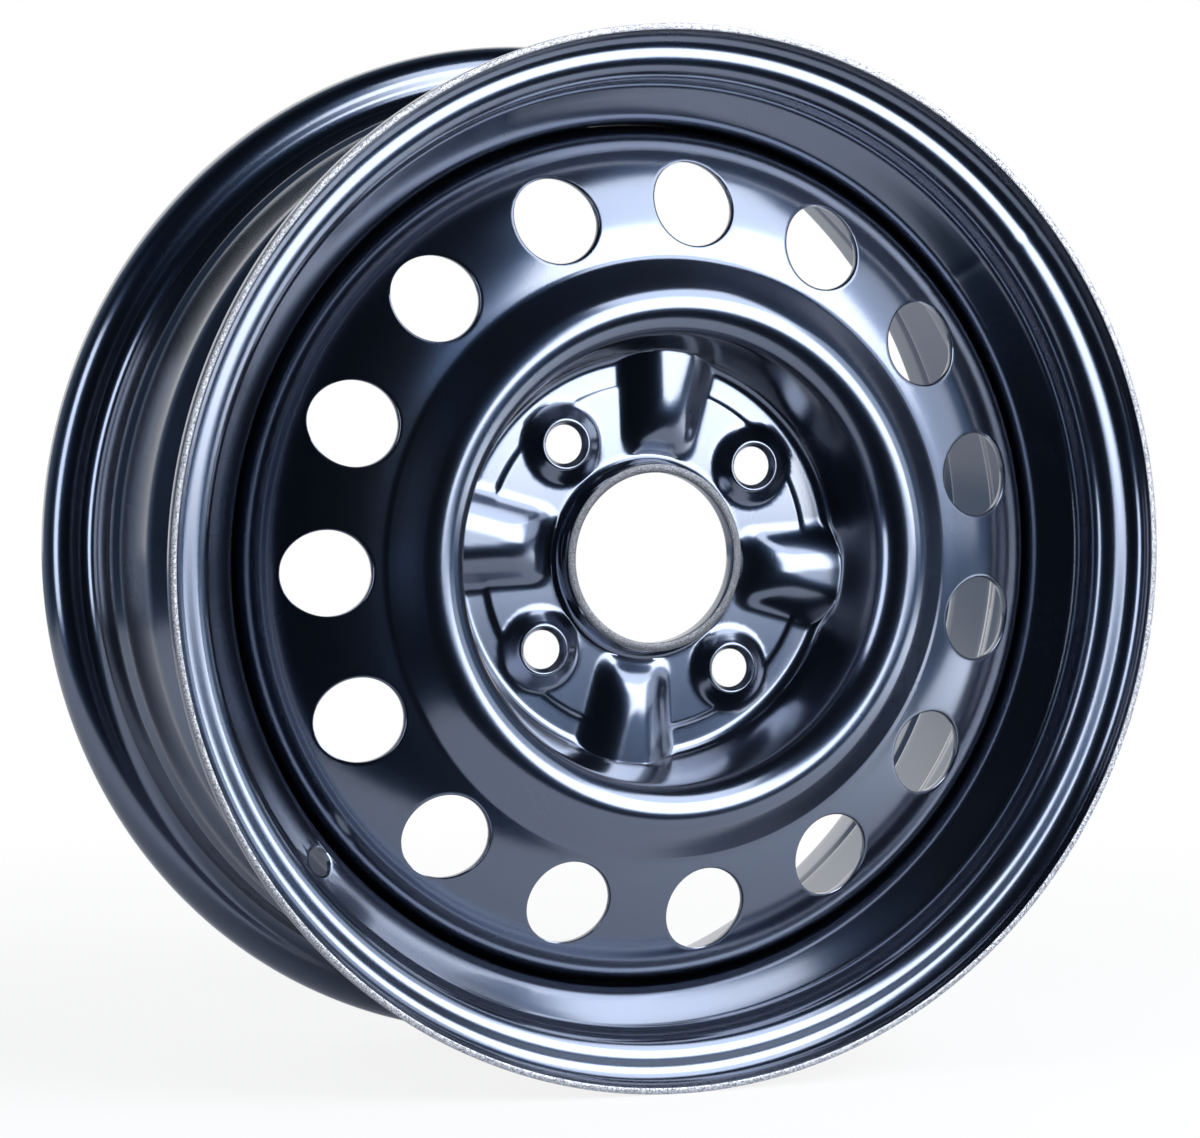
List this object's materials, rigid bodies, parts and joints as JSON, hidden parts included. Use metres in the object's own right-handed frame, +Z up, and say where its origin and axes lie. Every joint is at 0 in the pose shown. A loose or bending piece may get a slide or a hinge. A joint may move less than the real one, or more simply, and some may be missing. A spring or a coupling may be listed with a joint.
{
  "type": "steel wheel",
  "caption": "Black painted steel car wheel: a rolled drop-well rim welded round a stamped disc with round vents, raised lug seats, pressed ribs and a collared hub bore.",
  "frame": {"origin": "on the wheel axis, midway between the two bead faces of the rim", "axes": "+Y along the wheel axis towards the vehicle (inboard), the outboard face looks towards -Y, +Z up, +X to the right seen from the outboard side"},
  "size_m": [0.4152, 0.1784, 0.415],
  "materials": {
    "black_paint": "gloss black paint over pressed steel"
  },
  "bodies": {
    "root": {"rim": "black_paint", "disc": "black_paint", "weld_beads": "black_paint"}
  },
  "joints": []
}
